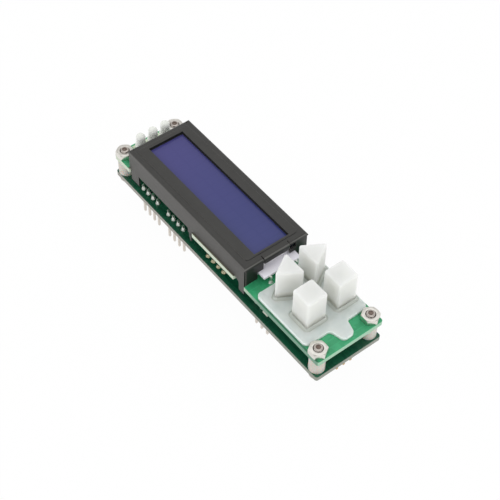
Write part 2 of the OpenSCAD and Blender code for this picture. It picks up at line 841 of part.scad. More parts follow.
// One break-away section of a header body: a square with cut corners, with a bore for its pin.
module header_body(x, y, count, dir) {
    cut = 0.5;
    h = header_w / 2;
    p = pin_pitch / 2;
    color([0.92, 0.90, 0.82])
    translate([x, y, -header_h])
    difference() {
        linear_extrude(header_h)
        for (i = [0:count - 1])
            translate([dir.x, dir.y] * i * pin_pitch) rotate(dir.x > 0 ? 0 : 90)
                polygon([
                    [-p, -h + cut], [-p + cut, -h], [p - cut, -h], [p, -h + cut],
                    [p, h - cut], [p - cut, h], [-p + cut, h], [-p, h - cut]
                ]);
        for (i = [0:count - 1])
            translate(dir * i * pin_pitch + [0, 0, -eps])
                block(pin_w, pin_w, header_h + 2 * eps);
    }
}

// A square pin with a tapered lower end, and its solder cone on the far side of the board.
module header_pins(x, y, count, dir) {
    long = header_h + pin_reach;
    color([0.80, 0.74, 0.55])
    for (i = [0:count - 1])
        translate([x, y, 0] + dir * i * pin_pitch) {
            translate([0, 0, -long + pin_tip]) block(pin_w, pin_w, long - pin_tip + board_t + pin_tail);
            translate([0, 0, -long]) block(pin_w * 0.6, pin_w * 0.6, pin_tip + eps);
            translate([0, 0, board_t])
                cylinder(r1 = joint_r, r2 = joint_top_r, h = joint_h, $fn = 24);
        }
}

module first_header_body() { header_body(first_header_x, edge_row_y, 4, [1, 0, 0]); }
module first_header_pins() { header_pins(first_header_x, edge_row_y, 4, [1, 0, 0]); }
module second_header_body() { header_body(second_header_x, edge_row_y, 4, [1, 0, 0]); }
module second_header_pins() { header_pins(second_header_x, edge_row_y, 4, [1, 0, 0]); }
module power_header_body() { header_body(first_header_x, -edge_row_y, 4, [1, 0, 0]); }
module power_header_pins() { header_pins(first_header_x, -edge_row_y, 4, [1, 0, 0]); }
module sensor_header_body() { header_body(sensor_header_x, sensor_header_y, 3, [1, 0, 0]); }
module sensor_header_pins() { header_pins(sensor_header_x, sensor_header_y, 3, [1, 0, 0]); }
module end_header_body() { header_body(end_header_x, end_header_y, 3, [0, 1, 0]); }
module end_header_pins() { header_pins(end_header_x, end_header_y, 3, [0, 1, 0]); }

// The board link: a two-row header on the lower board, plugged into a socket under the upper one.
module link_places() {
    for (i = [0:link_cols - 1], j = [0:link_rows - 1])
        translate([link_x + i * pin_pitch, link_y + (j - (link_rows - 1) / 2) * pin_pitch, 0]) children();
}

module link_block(z, h) {
    translate([link_x - pin_pitch / 2, link_y - link_w / 2, z]) cube([link_cols * pin_pitch, link_w, h]);
}

module link_socket() {
    color([0.07, 0.07, 0.07])
    difference() {
        link_block(lower_top + link_body_h, link_socket_h);
        link_places() translate([0, 0, lower_top + link_body_h - eps])
            block(pin_w + 0.2, pin_w + 0.2, link_pin_h - link_body_h + 0.3);
    }
}

module link_header_body() {
    color([0.07, 0.07, 0.07])
    difference() {
        link_block(lower_top, link_body_h);
        link_places() translate([0, 0, lower_top - eps]) block(pin_w, pin_w, link_body_h + 2 * eps);
    }
}

module link_pins() {
    color([0.80, 0.74, 0.55])
    link_places() translate([0, 0, lower_top]) block(pin_w, pin_w, link_pin_h);
}

// The data socket opens at the lamp end. Its shell is a folded tube with slanted lower corners.
module usb_profile(g) {
    w = usb_w / 2 - g;
    top = -g;
    low = -usb_h + g;
    slant = 1.1;
    polygon([[-w, top], [-w, low + slant], [-w + slant, low], [w - slant, low], [w, low + slant], [w, top]]);
}

module usb_shell() {
    color([0.72, 0.72, 0.72])
    translate([board_x0 - usb_overhang, usb_y, 0]) rotate([90, 0, 90])
    difference() {
        linear_extrude(usb_l) usb_profile(0);
        translate([0, 0, -eps]) linear_extrude(usb_l - usb_wall + eps) usb_profile(usb_wall);
    }
}

module usb_tongue() {
    tongue_t = 0.8;
    color([0.08, 0.08, 0.08])
    translate([board_x0 - usb_overhang + 1.2, usb_y - 2.1, -usb_h / 2 - tongue_t / 2])
        cube([usb_l - usb_wall - 1.2, 4.2, tongue_t]);
}

// ---- Electronic parts ----

// A flat package under the lower board with a row of gull-wing leads on each side.
module controller_chip() {
    lead_l = 1;
    foot_t = 0.2;
    lead_pad = 0.35;
    color([0.10, 0.10, 0.10])
    translate([chip_x, chip_y, 0]) {
        translate([0, 0, -chip_h - 0.1]) block(chip_side, chip_side, chip_h);
        for (a = [0:90:270], i = [0:chip_leads - 1])
            rotate(a) translate([chip_side / 2 - eps, (i - (chip_leads - 1) / 2) * chip_lead_pitch, 0]) {
                translate([0, -lead_pad / 2, -chip_h / 2]) cube([lead_l / 2, lead_pad, foot_t]);
                translate([lead_l / 2 - foot_t, -lead_pad / 2, -chip_h / 2])
                    cube([foot_t, lead_pad, chip_h / 2]);
                translate([lead_l / 2 - foot_t, -lead_pad / 2, -foot_t])
                    cube([lead_l, lead_pad, foot_t]);
            }
    }
}

// Black resin drops over the display driver dies, under the upper board.
module display_drivers() {
    ball = (driver_r * driver_r + driver_h * driver_h) / (2 * driver_h);
    color([0.06, 0.06, 0.06])
    for (dx = driver_dx)
        translate([bezel_cx + dx, driver_y, upper_z]) mirror([0, 0, 1]) rotate_extrude()
            intersection() {
                translate([0, driver_h - ball]) circle(r = ball, $fn = 96);
                square([driver_r, driver_h]);
            }
}

module crystal() {
    color([0.76, 0.76, 0.74])
    translate([chip_x + crystal_dx, chip_y + crystal_dy, -crystal_h])
        plate(crystal_l, crystal_w, crystal_h, crystal_w / 2 - eps);
}

module filter_capacitor() {
    color([0.78, 0.78, 0.78])
    translate([chip_x + capacitor_dx, chip_y + capacitor_dy, 0]) {
        translate([0, 0, -capacitor_h]) cylinder(r = capacitor_r, h = capacitor_h);
        translate([0, 0, -capacitor_base_h]) block(capacitor_base, capacitor_base, capacitor_base_h);
    }
}

// Four small transistors under the lower board, beside the edge headers.
module driver_transistors() {
    lead_reach = 0.7;
    color([0.09, 0.09, 0.09])
    for (i = [0:3])
        translate([
            first_header_x + transistor_dx + i * transistor_pitch, edge_row_y + transistor_dy, 0
        ]) {
            translate([0, 0, -transistor_h - 0.1]) block(transistor_l, transistor_w, transistor_h);
            for (p = [[-transistor_lead_dx, -1], [transistor_lead_dx, -1], [0, 1]])
                translate([p.x, p.y * transistor_lead_y, -transistor_lead_t])
                    block(transistor_lead_w, lead_reach, transistor_lead_t);
        }
}

// A chip resistor or capacitor that hangs under a board at z.
module chip_part(x, y, z, h = chip_part_h) {
    translate([x, y, z - h]) block(chip_part_l, chip_part_w, h);
}

module chip_parts() {
    color([0.55, 0.50, 0.42]) {
        for (i = [0:5]) chip_part(chip_x + row_dx + i * chip_part_pitch, chip_y + row_dy, 0);
        for (i = [0:3]) chip_part(chip_x + side_dx, chip_y + side_dy + i * chip_side_pitch, 0);
        for (i = [0:2]) chip_part(bezel_cx + upper_row_dx + i * chip_part_pitch, upper_parts_y, upper_z);
        // One near the lower edge of the upper board
        chip_part(bezel_x1 + edge_part_dx, board_y0 + edge_part_inset, upper_z, edge_part_h);
    }
}

// Solder in the four holes of a header place that is left empty.
module spare_joints() {
    color([0.80, 0.80, 0.78])
    for (i = [0:3])
        translate([spare_x + i * pin_pitch, edge_row_y, 0]) {
            translate([0, 0, board_t])
                cylinder(r1 = spare_joint_r, r2 = joint_top_r, h = spare_joint_h, $fn = 24);
            cylinder(r = joint_top_r - eps, h = board_t + eps, $fn = 24);
        }
}

lower_board();
upper_board();
spacers();
screws();
nuts();
bezel();
front_glass();
rear_glass();
front_polarizer();
rear_polarizer();
contact_strip_lower();
contact_strip_upper();
light_guide();
lamp_board();
lamp_board_leads();
status_lamp_1();
status_lamp_2();
status_lamp_3();
key_mat();
down_key();
up_key();
upper_square_key();
lower_square_key();
down_key_web();
up_key_web();
upper_square_key_web();
lower_square_key_web();
down_key_contact();
up_key_contact();
upper_square_key_contact();
lower_square_key_contact();
first_header_body();
first_header_pins();
second_header_body();
second_header_pins();
power_header_body();
power_header_pins();
sensor_header_body();
sensor_header_pins();
end_header_body();
end_header_pins();
link_socket();
link_header_body();
link_pins();
usb_shell();
usb_tongue();
controller_chip();
display_drivers();
crystal();
filter_capacitor();
driver_transistors();
chip_parts();
spare_joints();
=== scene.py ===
import math

import bpy
from mathutils import Euler, Matrix, Vector

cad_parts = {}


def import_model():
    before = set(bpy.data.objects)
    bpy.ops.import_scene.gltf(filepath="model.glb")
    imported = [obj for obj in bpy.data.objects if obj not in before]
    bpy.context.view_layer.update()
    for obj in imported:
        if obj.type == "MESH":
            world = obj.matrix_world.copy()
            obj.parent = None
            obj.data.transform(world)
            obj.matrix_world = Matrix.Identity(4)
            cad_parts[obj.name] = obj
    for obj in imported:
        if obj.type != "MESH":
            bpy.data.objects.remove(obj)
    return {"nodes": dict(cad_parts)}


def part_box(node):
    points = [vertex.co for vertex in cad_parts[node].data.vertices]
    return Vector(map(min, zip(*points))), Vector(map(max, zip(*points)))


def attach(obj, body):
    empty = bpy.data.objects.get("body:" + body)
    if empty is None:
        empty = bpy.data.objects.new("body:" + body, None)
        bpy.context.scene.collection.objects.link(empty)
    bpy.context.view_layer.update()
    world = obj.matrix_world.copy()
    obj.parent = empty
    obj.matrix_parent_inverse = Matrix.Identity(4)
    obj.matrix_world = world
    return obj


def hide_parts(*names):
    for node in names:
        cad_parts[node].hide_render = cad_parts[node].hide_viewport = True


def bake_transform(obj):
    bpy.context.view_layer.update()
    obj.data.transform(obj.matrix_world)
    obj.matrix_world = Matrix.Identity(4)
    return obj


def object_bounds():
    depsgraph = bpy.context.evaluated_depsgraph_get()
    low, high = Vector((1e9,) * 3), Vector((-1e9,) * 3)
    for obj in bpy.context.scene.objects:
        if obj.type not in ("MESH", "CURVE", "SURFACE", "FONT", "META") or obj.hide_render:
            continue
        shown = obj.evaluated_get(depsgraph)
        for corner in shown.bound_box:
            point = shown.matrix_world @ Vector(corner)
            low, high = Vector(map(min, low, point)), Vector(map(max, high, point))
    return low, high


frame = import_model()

# A display module: two boards on spacers, a display under a folded sheet, three lamps and four
# soft keys. Sizes are in millimetres, and MM turns them into metres.

# ---- Names and sizes --------------------------------------------------------------------------

MM = 0.001
MM_PER_M = 1000.0

ROOT = "display_module"
KEYS = ("down_key", "up_key", "upper_square_key", "lower_square_key")
LAMPS = ("status_lamp_1", "status_lamp_2", "status_lamp_3")
# The headers whose pins hang under the lower board and are soldered on top of it
LOWER_HEADERS = ("first_header", "second_header", "power_header", "sensor_header")

NODES = frame["nodes"]
# The low and the high corner of each solid
MM_BOX = {node: [Vector(corner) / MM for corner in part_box(node)] for node in NODES}
cad_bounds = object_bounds()

LOWER_BOARD_TOP = MM_BOX["lower_board"][1].z
MAT_TOP = MM_BOX["key_mat"][1].z
NUT_TOP = MM_BOX["nuts"][1].z
SCREW_TOP = MM_BOX["screws"][1].z
FIELD_TOP = MM_BOX["bezel"][1].z

# The folded sheet: its thickness, the rise of its raised field, and the plane of its long walls
SHEET_T = 0.5
FIELD_H = 0.3
WALL_Y = 11.4
# How far the front film reaches under the sheet
POLARIZER_LAP = 0.7

# Nuts: from the axis to a flat, to a point and to the thread
NUT_FLAT_R = 2.5
NUT_POINT_R = NUT_FLAT_R / math.cos(math.radians(30))
NUT_BORE_R = 1.27
SCREW_PITCH = 0.45

# Lamps: the radius, and the height of the clear body from the foot of its flange
LAMP_R = 1.5
LAMP_BODY_H = 5.4


# ---- Shader maths -----------------------------------------------------------------------------

class Sock:
    """A node's output that takes part in Python expressions. Each expression adds its Math nodes."""

    def __init__(self, shading, out):
        self.shading = shading
        self.out = out

    def __getitem__(self, name):
        """Another output of the same node."""
        return Sock(self.shading, self.out.node.outputs[name])

    def _math(self, operation, a, b=None, clamp=False):
        values = {0: a} if b is None else {0: a, 1: b}
        return self.shading.node("Math", {"operation": operation, "use_clamp": clamp}, values)

    def __add__(self, other):
        return self._math("ADD", self, other)

    def __radd__(self, other):
        return self._math("ADD", other, self)

    def __sub__(self, other):
        return self._math("SUBTRACT", self, other)

    def __rsub__(self, other):
        return self._math("SUBTRACT", other, self)

    def __neg__(self):
        return self._math("SUBTRACT", 0.0, self)

    def __mul__(self, other):
        return self._math("MULTIPLY", self, other)

    def __rmul__(self, other):
        return self._math("MULTIPLY", other, self)

    def abs(self):
        return self._math("ABSOLUTE", self)

    def max(self, other):
        return self._math("MAXIMUM", self, other)

    def clamp(self):
        return self._math("ADD", self, 0.0, clamp=True)

    def wrap(self, period):
        """The distance to the nearest multiple of the period."""
        return self._math("PINGPONG", self, period / 2)


class Shading:
    """The nodes of a material or of the world, up to its output."""

    def __init__(self, owner, output_kind):
        owner.use_nodes = True
        self.tree = owner.node_tree
        self.tree.nodes.clear()
        self.output = self.tree.nodes.new(output_kind)

    def node(self, kind, settings=None, inputs=None, output=0):
        """A new node: first its settings, then the values or links of its sockets."""
        made = self.tree.nodes.new("ShaderNode" + kind)
        for name, value in (settings or {}).items():
            setattr(made, name, value)
        for name, value in (inputs or {}).items():
            self.feed(made.inputs[name], value)
        return Sock(self, made.outputs[output])

    def feed(self, socket, value):
        """Links a Sock to the socket, or sets the socket to a value."""
        if isinstance(value, Sock):
            self.tree.links.new(value.out, socket)
        elif socket.type == "RGBA" and len(value) == 3:
            socket.default_value = (*value, 1.0)
        else:
            socket.default_value = value

    def show(self, shader):
        """The surface, or the world, shows this shader."""
        self.feed(self.output.inputs["Surface"], shader)

    def either(self, factor, first, second):
        """The first shader where the factor is 0, and the second where it is 1."""
        return self.node("MixShader", {}, {0: factor, 1: first, 2: second})


class Paint(Shading):
    """A material: one Principled shader and what feeds it."""

    def __init__(self, name, color, roughness, metallic=0.0, **constants):
        self.material = bpy.data.materials.new(name)
        super().__init__(self.material, "ShaderNodeOutputMaterial")
        self.shader = self.node("BsdfPrincipled")
        self.show(self.shader)
        self.set("Base Color", color)
        self.set("Roughness", roughness)
        self.set("Metallic", metallic)
        for key, value in constants.items():
            # A constant has its socket's name: coat_weight is Coat Weight, and ior is IOR
            self.set(key.replace("_", " ").title().replace("Ior", "IOR"), value)
        self.coordinates = self.node("TexCoord")

    def set(self, name, value):
        """Sets or links one of the shader's own sockets."""
        self.feed(self.shader.out.node.inputs[name], value)

    def along(self, axis):
        """The point's place along X, Y or Z, in millimetres."""
        return self.node("SeparateXYZ", {}, {0: self.coordinates["Object"]})[axis] * MM_PER_M

    def facing(self, axis):
        """How squarely the surface faces along X, Y or Z, from -1 to 1."""
        return self.node("SeparateXYZ", {}, {0: self.coordinates["Normal"]})[axis]

    def noise(self, per_mm, detail=2.0, roughness=0.5, stretch=None):
        """Soft noise, with about this many patches to the millimetre."""
        place = self.coordinates["Object"]
        if stretch:
            place = self.node("Mapping", {"vector_type": "POINT"}, {"Vector": place, "Scale": stretch})
        return self.node(
            "TexNoise", {"noise_dimensions": "3D"},
            {"Vector": place, "Scale": per_mm * MM_PER_M, "Detail": detail, "Roughness": roughness},
        )

    def grain(self, per_mm, stretch=None):
        """Rougher noise, for the grain of a surface. Stretch scales it along X, Y and Z."""
        return self.noise(per_mm, 3.0, 0.6, stretch)

    def mix(self, factor, a, b):
        """Colour a where the factor is 0, and b where it is 1."""
        return self.node("Mix", {"data_type": "RGBA"}, {0: factor, 6: a, 7: b}, output=2)

    def step(self, value, low, high):
        """0 below low, 1 above high, and a smooth rise between them."""
        return self.node(
            "MapRange", {"interpolation_type": "SMOOTHSTEP"},
            {"Value": value, "From Min": low, "From Max": high, "To Min": 0.0, "To Max": 1.0},
        )

    def fall(self, value, low, high):
        """1 below low, 0 above high, and a smooth fall between them."""
        return 1.0 - self.step(value, low, high)

    def bump(self, height, strength, distance):
        """Relief on the surface, up to the distance in millimetres."""
        made = self.node("Bump", {}, {"Height": height, "Strength": strength, "Distance": distance * MM})
        self.set("Normal", made)


def srgb(*levels):
    """A colour given as 0 to 255 on a display, as the shader's linear values."""
    return tuple(
        level / 255 / 12.92 if level <= 10 else ((level / 255 + 0.055) / 1.055) ** 2.4
        for level in levels
    )


# ---- Finishes ---------------------------------------------------------------------------------

# Copper tracks: the pitch and the place of one, for those along the board and those across it
TRACK_PITCH_ALONG = 1.27
TRACK_AT_Y = -0.35
TRACK_PITCH_ACROSS = 1.9
TRACK_AT_X = -0.2
# Where a track's edge fades out, from the middle of the track
TRACK_EDGE = 0.12, 0.16

# The printed field round the lamps: its length from the bezel's end, and its two long edges
PRINT_L = 6.8
PRINT_LOW_Y = -5.8
PRINT_HIGH_Y = 7.7
# How soft the edge of print is
PRINT_BLUR = 0.1

# The characters: the pitch of the columns, the place of one gap, and half the height of both rows
COLUMN_PITCH = 2.95
COLUMN_GAP_X = -24.2
ROWS_HALF_H = 5.3


def copper_below(paint, cloud):
    """Where copper lies under the lacquer: straight tracks, and areas filled with copper."""
    lengthwise = paint.step((paint.along("Y") - TRACK_AT_Y).wrap(TRACK_PITCH_ALONG), *TRACK_EDGE)
    crosswise = paint.step((paint.along("X") - TRACK_AT_X).wrap(TRACK_PITCH_ACROSS), *TRACK_EDGE)
    # Patches of the board have lengthwise tracks, and the rest has crosswise ones
    band = paint.step(paint.noise(0.12, detail=1.0), 0.48, 0.5)
    tracks = 1.0 - (band * lengthwise + (1.0 - band) * crosswise)
    filled = paint.step(cloud, 0.53, 0.55)
    return (tracks * (1.0 - filled) + filled * 0.8).clamp()


def shade_at_bezel_foot(paint, tone):
    """Painted shade darkens the narrow ledge along the foot of the bezel."""
    low, high = MM_BOX["bezel"]
    middle, half = (low.x + high.x) / 2, (high.x - low.x) / 2
    beside = paint.fall((paint.along("X") - middle).abs(), half - 0.3, half + 0.1)
    beside = beside * paint.step(paint.along("Y").abs(), WALL_Y - 0.2, WALL_Y - 0.05)
    return paint.mix(beside, tone, srgb(96, 92, 78))


def shade_at_mat(paint, tone):
    """Shade lies between the key mat and the long edge of the board."""
    low = MM_BOX["key_mat"][0]
    beside = paint.step(paint.along("X"), low.x, low.x + 2.0)
    beside = beside * paint.step(-paint.along("Y"), -low.y - 0.06, -low.y + 0.06)
    return paint.mix(beside, tone, srgb(44, 112, 80))


def print_at_lamps(paint, tone):
    """A pale printed field surrounds the lamps and ends just under the bezel."""
    bezel_end = MM_BOX["bezel"][0].x
    start = bezel_end - PRINT_L
    x, y = paint.along("X"), paint.along("Y")
    lengthwise = paint.step(x, start, start + PRINT_BLUR)
    lengthwise = lengthwise * paint.fall(x, bezel_end + 0.2, bezel_end + 0.4)
    crosswise = paint.step(y, PRINT_LOW_Y, PRINT_LOW_Y + PRINT_BLUR)
    crosswise = crosswise * paint.fall(y, PRINT_HIGH_Y - PRINT_BLUR, PRINT_HIGH_Y)
    return paint.mix(lengthwise * crosswise * 0.85, tone, srgb(214, 222, 196))


def shaded_long_edge(paint, tone, layers):
    """The long cut edge beside the keys is painted darker and greyer than the rest, as shade."""
    long_side = paint.step(-paint.facing("Y"), 0.6, 0.9) * paint.step(paint.along("X"), 16.0, 24.0)
    return paint.mix(long_side * (0.65 + layers * 0.3), tone, srgb(92, 132, 112))


def circuit_board(name, mask, mask_dark, edge_near, edge_far, marked=False):
    """Lacquer over laminate: copper shows through the lacquer as slightly lighter lines and areas."""
    paint = Paint(name, mask, 0.3, specular_ior_level=0.35, coat_weight=0.2, coat_roughness=0.2)
    cloud = paint.noise(0.35, detail=3.0)
    raised = copper_below(paint, cloud)
    lacquer = paint.mix(raised * 0.5, mask_dark, mask)
    # The cut edge shows the laminate's layers. Its tone changes from the lamps to the keys.
    layers = paint.grain(1.1, stretch=(0.15, 0.15, 3.0))
    along = (paint.step(paint.along("X"), 8.0, 24.0) * 0.8 + layers * 0.3).clamp()
    laminate = paint.mix(along, edge_far, edge_near)
    if marked:
        for mark in (shade_at_bezel_foot, shade_at_mat, print_at_lamps):
            lacquer = mark(paint, lacquer)
        laminate = shaded_long_edge(paint, laminate, layers)
    flat = paint.step(paint.facing("Z").abs(), 0.35, 0.55)
    paint.set("Base Color", paint.mix(flat, laminate, lacquer))
    paint.set("Roughness", 0.62 - flat * 0.26 + cloud * 0.06)
    paint.bump(raised * flat + layers * (1.0 - flat) * 0.4, 0.25, 0.02)
    return paint.material


def folded_paint(name, low, high, roughness):
    """Satin black paint over thin steel, with a fine orange peel."""
    paint = Paint(name, high, roughness, specular_ior_level=0.4)
    grain = paint.grain(6.0)
    cloud = paint.noise(0.25)
    tone = paint.mix((grain * 0.5 + cloud * 0.5).clamp(), low, high)
    # The long wall is painted paler, as the light on it, and the wall at the keys is painted darker, as
    # shade
    tone = paint.mix(paint.step(-paint.facing("Y"), 0.6, 0.9) * 0.6, tone, srgb(76, 74, 71))
    tone = paint.mix(paint.step(paint.facing("X"), 0.8, 0.95) * 0.75, tone, srgb(14, 16, 15))
    paint.set("Base Color", tone)
    paint.set("Roughness", roughness - 0.08 + grain * 0.16)
    paint.bump(grain, 0.12, 0.03)
    return paint.material


def display_film():
    """The front polarizer: a smooth blue film. The rows of character cells barely show in it."""
    low, high = MM_BOX["front_polarizer"]
    middle, half = (low + high) / 2, (high - low) / 2
    paint = Paint("display_blue_film", srgb(68, 66, 122), 0.16, specular_ior_level=0.4)
    x, y = paint.along("X"), paint.along("Y")
    cloud = paint.noise(0.05, detail=1.0)
    base = paint.mix(paint.step(x, -40.0, 12.0), srgb(66, 65, 116), srgb(50, 58, 106))
    base = paint.mix(cloud * 0.4, base, srgb(62, 56, 118))
    # The cells lie in two rows, one on each side of the film's middle
    from_middle = (y - middle.y).abs()
    columns = paint.step((x - COLUMN_GAP_X).wrap(COLUMN_PITCH), 0.16, 0.22)
    rows = paint.step(from_middle, 0.35, 0.45)
    rows = rows * paint.fall(from_middle, ROWS_HALF_H, ROWS_HALF_H + PRINT_BLUR)
    seen = paint.mix(columns * rows * 0.03, base, srgb(90, 90, 146))
    # What lies under the sheet is painted black, as the shade there
    past_edge = ((x - middle.x).abs() - half.x).max(from_middle - half.y)
    hidden = paint.step(past_edge, 0.02 - POLARIZER_LAP, 0.1 - POLARIZER_LAP)
    paint.set("Base Color", paint.mix(hidden, seen, srgb(12, 12, 14)))
    paint.set("Roughness", 0.14 + cloud * 0.05)
    return paint.material


def bare_glass():
    """The display's two glasses, dark at their cut edges."""
    paint = Paint("cell_glass", srgb(30, 32, 42), 0.1, coat_weight=0.4, coat_roughness=0.05)
    haze = paint.noise(0.2)
    paint.set("Base Color", paint.mix(haze, srgb(24, 26, 34), srgb(36, 38, 50)))
    paint.set("Roughness", 0.06 + haze * 0.05)
    return paint.material


def silicone(name, low, high, edge, roughness, depth, weight, alpha=1.0, foot=None, shine=0.3):
    """Soft silicone: light spreads to a depth below its satin skin, and its upright faces are painted
    paler, as light that shines through them.
    """
    paint = Paint(
        name, high, roughness,
        subsurface_weight=weight, subsurface_scale=depth * MM, specular_ior_level=shine,
    )
    paint.set("Subsurface Radius", (1.0, 1.0, 0.95))
    cloud = paint.noise(0.3)
    fine = paint.noise(9.0)
    rim = paint.fall(paint.facing("Z").abs(), 0.2, 0.98) * 0.9
    skin = paint.mix(rim, paint.mix(cloud, low, high), edge)
    # The foot is painted lighter and warmer, as light that glows through the silicone there
    if foot:
        skin = paint.mix(paint.fall(paint.along("Z"), MAT_TOP - 0.5, MAT_TOP + 3.5), skin, foot)
    paint.set("Base Color", skin)
    paint.set("Roughness", roughness - 0.05 + fine * 0.1)
    if alpha < 1.0:
        paint.set("Alpha", alpha + (cloud - 0.5) * 0.06 + rim * (1.0 - alpha) * 0.6)
    paint.bump(fine, 0.1, 0.03)
    return paint.material


def metal(name, low, high, roughness, streak=None, wear=0.12):
    """Bright metal. A streak draws its marks out, and wear is how much its roughness varies."""
    paint = Paint(name, high, roughness, metallic=1.0)
    brushed = paint.grain(3.0, streak)
    cloud = paint.noise(0.8)
    paint.set("Base Color", paint.mix(cloud, low, high))
    paint.set("Roughness", roughness - wear / 2 + brushed * wear)
    paint.bump(brushed, 0.04, 0.01)
    return paint.material


def moulded(name, low, high, roughness, scale=5.0, bump=0.15, **constants):
    """Moulded plastic, rubber or ceramic with a fine grain."""
    paint = Paint(name, high, roughness, **constants)
    grain = paint.grain(scale)
    cloud = paint.noise(0.5)
    paint.set("Base Color", paint.mix((grain * 0.4 + cloud * 0.6).clamp(), low, high))
    paint.set("Roughness", roughness - 0.06 + grain * 0.12)
    paint.bump(grain, bump, 0.03)
    return paint.material


def clear_epoxy():
    """Clear lamp resin with a faint haze."""
    paint = Paint(
        "lamp_clear_epoxy", srgb(250, 251, 248), 0.25,
        transmission_weight=0.12, ior=1.45, specular_ior_level=0.35,
    )
    haze = paint.noise(1.2)
    body = paint.mix(haze, srgb(252, 253, 248), srgb(255, 255, 254))
    # The top of the lamp is painted darker, as the shade seen round its outline
    dome = paint.step(paint.facing("Z"), 0.0, 0.8)
    paint.set("Base Color", paint.mix(dome, body, srgb(232, 234, 228)))
    paint.set("Roughness", 0.18 + haze * 0.12)
    return paint.material


def threaded(name, low, high):
    """A plated screw: its end above the nuts carries a fine thread."""
    paint = Paint(name, high, 0.3, metallic=1.0)
    above_nut = paint.along("Z") - NUT_TOP
    cloud = paint.noise(0.8)
    thread = paint.step(above_nut.wrap(SCREW_PITCH), 0.02, 0.2) * paint.step(above_nut, -1.0, 0.0)
    # The thread's grooves, and the screw more than a millimetre into the nut, are painted darker, as
    # shade
    paint.set("Base Color", paint.mix((cloud * 0.7 + thread * 0.3).clamp(), low, high))
    paint.set("Roughness", 0.24 + cloud * 0.12)
    paint.bump(thread, 0.6, 0.12)
    return paint.material


# Drawing marks run along the pins and up the can
ALONG_PIN = 1.0, 1.0, 0.1
UP_CAN = 1.0, 1.0, 0.15

FINISH = {
    "board_bright": circuit_board(
        "board_bright_mask", srgb(62, 170, 118), srgb(46, 146, 98), srgb(150, 192, 164),
        srgb(206, 212, 194), marked=True),
    # The lower board's lacquer is painted darker, as the shade under the upper board
    "board_dark": circuit_board(
        "board_shaded_mask", srgb(24, 96, 68), srgb(14, 74, 52), srgb(138, 142, 132),
        srgb(154, 150, 144)),
    "bezel": folded_paint("bezel_black_paint", srgb(42, 42, 40), srgb(60, 59, 57), 0.48),
    # The edge finish is a painted highlight on the sheet's outer fold and its rounded edges
    "bezel_edge": folded_paint("bezel_painted_highlight", srgb(66, 66, 64), srgb(104, 104, 101), 0.32),
    # Black that stands in for shade: at the window's cut edge, at the sheet's corners and in the frame
    # round the film
    "foam": moulded("painted_shade_black", srgb(14, 14, 16), srgb(24, 24, 26), 0.8, scale=6.0, bump=0.2),
    "film": display_film(),
    "glass": bare_glass(),
    "key": silicone(
        "key_silicone", srgb(198, 199, 197), srgb(204, 205, 203), srgb(209, 210, 206), 0.65,
        depth=12.0, weight=1.0, foot=srgb(222, 223, 200), shine=0.15),
    "mat": silicone(
        "mat_silicone", srgb(194, 205, 203), srgb(220, 224, 221), srgb(234, 252, 241), 0.42,
        depth=1.5, weight=0.9, alpha=0.9),
    # The web is painted darker than the mat, as the shade in the groove round each key
    "web": silicone(
        "web_silicone", srgb(176, 181, 176), srgb(190, 194, 188), srgb(192, 196, 188), 0.6,
        depth=0.4, weight=0.6, alpha=0.97),
    "nickel": metal("fixing_nickel", srgb(212, 209, 202), srgb(238, 235, 228), 0.28, wear=0.04),
    "screw": threaded("screw_nickel", srgb(168, 158, 150), srgb(226, 220, 214)),
    "thread": metal("nut_thread_shade", srgb(62, 50, 44), srgb(92, 80, 72), 0.45),
    "dimple": metal("screw_dimple_shade", srgb(98, 84, 76), srgb(140, 126, 118), 0.3),
    "nylon": moulded(
        "spacer_nylon", srgb(184, 178, 170), srgb(206, 202, 192), 0.45, scale=2.0, bump=0.1,
        subsurface_weight=0.3, subsurface_scale=1.0 * MM),
    "epoxy": clear_epoxy(),
    "lead": metal("lamp_lead_frame", srgb(180, 180, 176), srgb(214, 214, 210), 0.3),
    "white_board": moulded(
        "lamp_board_white", srgb(232, 229, 240), srgb(246, 244, 250), 0.4, scale=3.0, bump=0.05),
    "guide": moulded(
        "guide_acrylic", srgb(240, 238, 244), srgb(250, 249, 252), 0.25, scale=2.0, bump=0.05),
    "solder": metal("solder_bright", srgb(226, 228, 222), srgb(250, 250, 246), 0.4),
    "joint": metal("solder_dull", srgb(150, 138, 108), srgb(206, 200, 172), 0.45),
    "tin": metal("pin_tin", srgb(222, 212, 202), srgb(244, 238, 230), 0.35, streak=ALONG_PIN),
    "gold": metal("pin_gold", srgb(196, 160, 104), srgb(226, 192, 136), 0.3, streak=ALONG_PIN),
    "cream": moulded("header_cream_plastic", srgb(206, 198, 166), srgb(226, 220, 194), 0.5),
    "black": moulded("black_moulding", srgb(28, 28, 28), srgb(44, 44, 44), 0.5, scale=8.0, bump=0.25),
    "carbon": moulded("carbon_pill", srgb(22, 22, 22), srgb(36, 36, 36), 0.7, scale=8.0, bump=0.2),
    "plated": metal("plated_steel", srgb(176, 176, 176), srgb(208, 208, 208), 0.22),
    "can": metal("drawn_can", srgb(180, 180, 180), srgb(210, 210, 210), 0.3, streak=UP_CAN),
    "strip": moulded(
        "contact_rubber", srgb(196, 116, 122), srgb(216, 140, 144), 0.6, scale=2.0, bump=0.1),
    "ceramic": moulded(
        "chip_ceramic", srgb(160, 166, 152), srgb(190, 194, 180), 0.5, scale=6.0, bump=0.15),
}


def finish(obj, *names):
    """The finishes of a piece, one for each material slot."""
    obj.data.materials.clear()
    for name in names:
        obj.data.materials.append(FINISH[name])


# ---- Working on pieces ------------------------------------------------------------------------

def only(obj):
    """obj alone is selected and active."""
    bpy.ops.object.select_all(action="DESELECT")
    obj.select_set(True)
    bpy.context.view_layer.objects.active = obj


